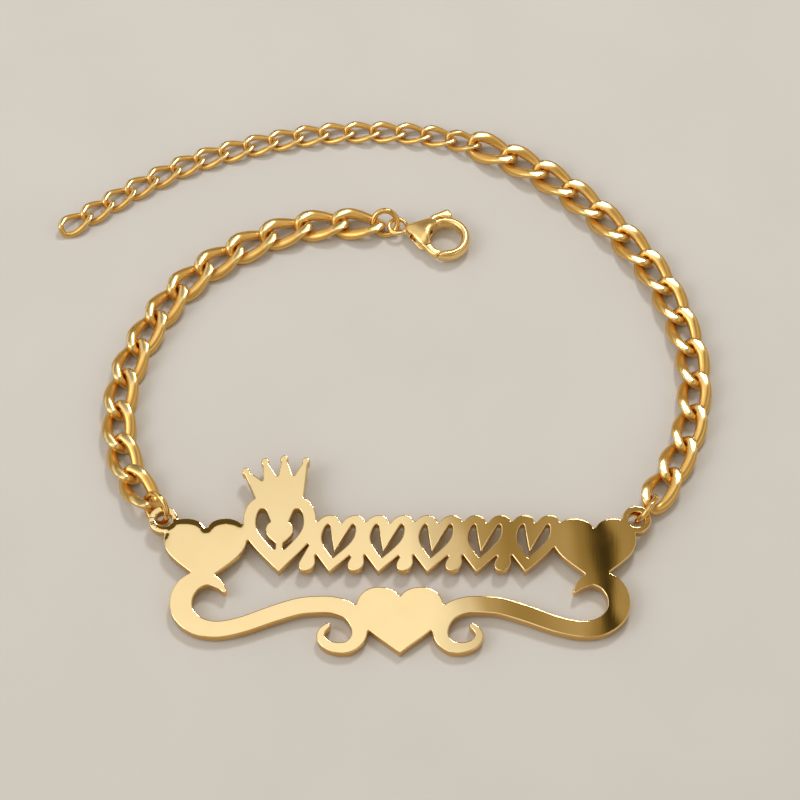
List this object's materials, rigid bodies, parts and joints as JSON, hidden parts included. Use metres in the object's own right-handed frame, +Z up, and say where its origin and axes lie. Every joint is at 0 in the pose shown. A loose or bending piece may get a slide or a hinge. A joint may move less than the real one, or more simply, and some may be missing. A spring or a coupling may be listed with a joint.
{
  "type": "nameplate bracelet",
  "caption": "Gold-coloured bracelet with a pierced plate of scrolls, hearts, a crown and an openwork band, curb chain, lobster clasp and extender chain, lying open.",
  "frame": {"origin": "under the middle of the whole bracelet, on the surface that it lies on", "axes": "+Z up, +X along the plate towards the extender's end of it, -Y the plate's edge with the scrolls, +Y towards the loop of chain"},
  "size_m": [0.0724, 0.0678, 0.0038],
  "materials": {
    "plate_gold": "mirror polish on the front, bright cut edges",
    "chain_gold": "polished, worn smooth",
    "ring_gold": "polished wire",
    "clasp_gold": "polished casting"
  },
  "bodies": {
    "bracelet": {"nameplate": "plate_gold", "jump_ring_left": "ring_gold", "jump_ring_right": "ring_gold", "clasp_ring": "ring_gold", "clasp_body": "clasp_gold", "clasp_pin": "clasp_gold", "extender_chain": "chain_gold", "link_left_01": "chain_gold", "link_left_02": "chain_gold", "link_left_03": "chain_gold", "link_left_04": "chain_gold", "link_left_05": "chain_gold", "link_left_06": "chain_gold", "link_left_07": "chain_gold", "link_left_08": "chain_gold", "link_left_09": "chain_gold", "link_left_10": "chain_gold", "link_left_11": "chain_gold", "link_left_12": "chain_gold", "link_left_13": "chain_gold", "link_right_01": "chain_gold", "link_right_02": "chain_gold", "link_right_03": "chain_gold", "link_right_04": "chain_gold", "link_right_05": "chain_gold", "link_right_06": "chain_gold", "link_right_07": "chain_gold", "link_right_08": "chain_gold", "link_right_09": "chain_gold", "link_right_10": "chain_gold", "link_right_11": "chain_gold", "link_right_12": "chain_gold", "link_right_13": "chain_gold", "link_right_14": "chain_gold"},
    "lever": {"clasp_lever": "clasp_gold"}
  },
  "joints": [
    {"name": "lever_hinge", "type": "hinge", "parent": "bracelet", "child": "lever", "pos_m": [0.00462, 0.01752, 0.00115], "axis": [0, 0, 1], "range_deg": [0, 25], "stiffness_Nm_per_rad": 0.002, "springref_deg": -28.65}
  ]
}
